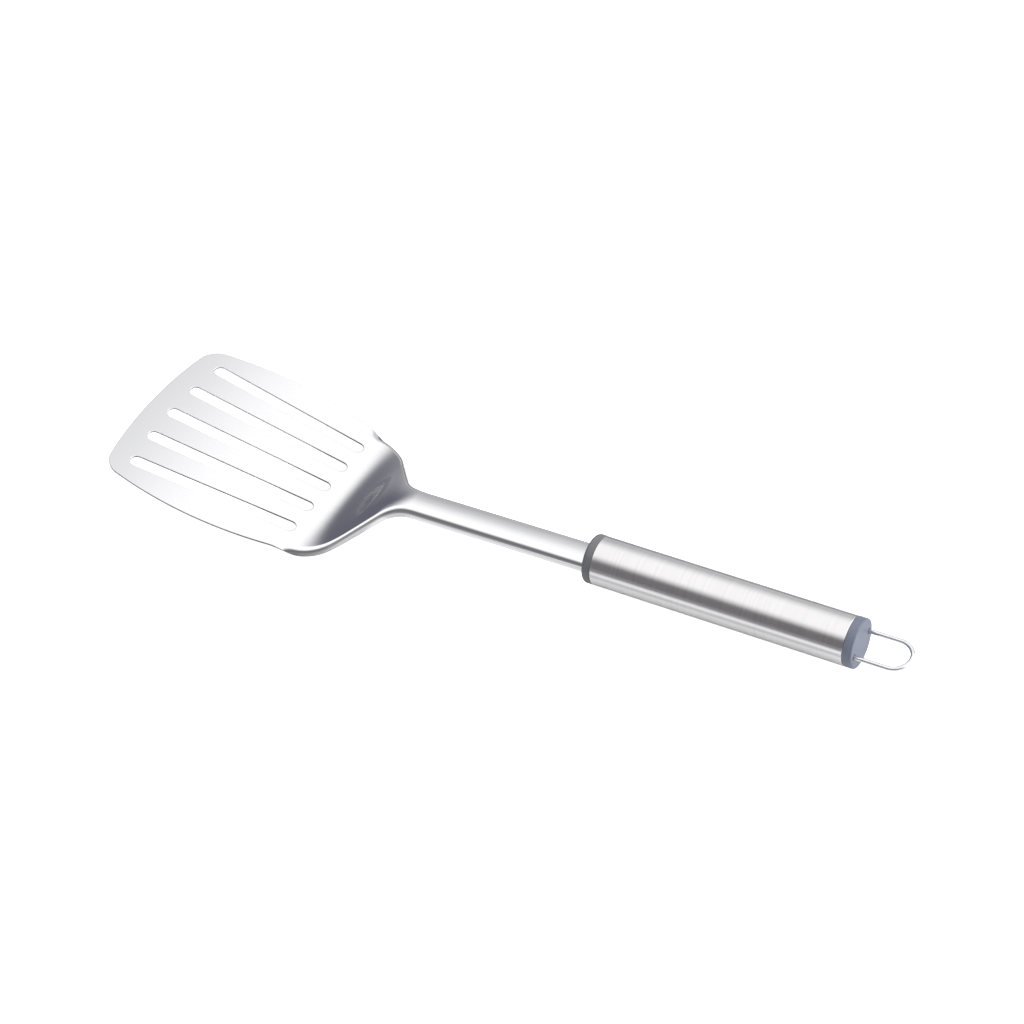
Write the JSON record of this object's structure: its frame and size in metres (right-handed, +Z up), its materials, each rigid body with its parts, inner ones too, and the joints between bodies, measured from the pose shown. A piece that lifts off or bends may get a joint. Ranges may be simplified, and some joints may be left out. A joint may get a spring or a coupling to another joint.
{
  "type": "slotted turner",
  "caption": "Kitchen turner with a slotted, upturned blade pressed in one with its neck and shank, a round tube handle with end fittings and a wire hanging loop.",
  "frame": {"origin": "middle of the footprint's box, on the table that the turner lies on", "axes": "+X from the blade to the hanging loop, +Y across the blade, +Z up"},
  "size_m": [0.3608, 0.093, 0.025],
  "materials": {
    "polished_steel": "polished stainless steel sheet",
    "ring_plastic": "satin dark grey plastic",
    "core_plastic": "plain moulded plastic, hidden",
    "brushed_tube": "stainless steel brushed round the tube",
    "cap_plastic": "satin blue-grey plastic",
    "loop_wire": "bright stainless steel wire"
  },
  "bodies": {
    "root": {"turner_blade": "polished_steel", "front_ring": "ring_plastic", "tang_core": "core_plastic", "handle_tube": "brushed_tube", "end_cap": "cap_plastic", "hanging_loop": "loop_wire"}
  },
  "joints": []
}
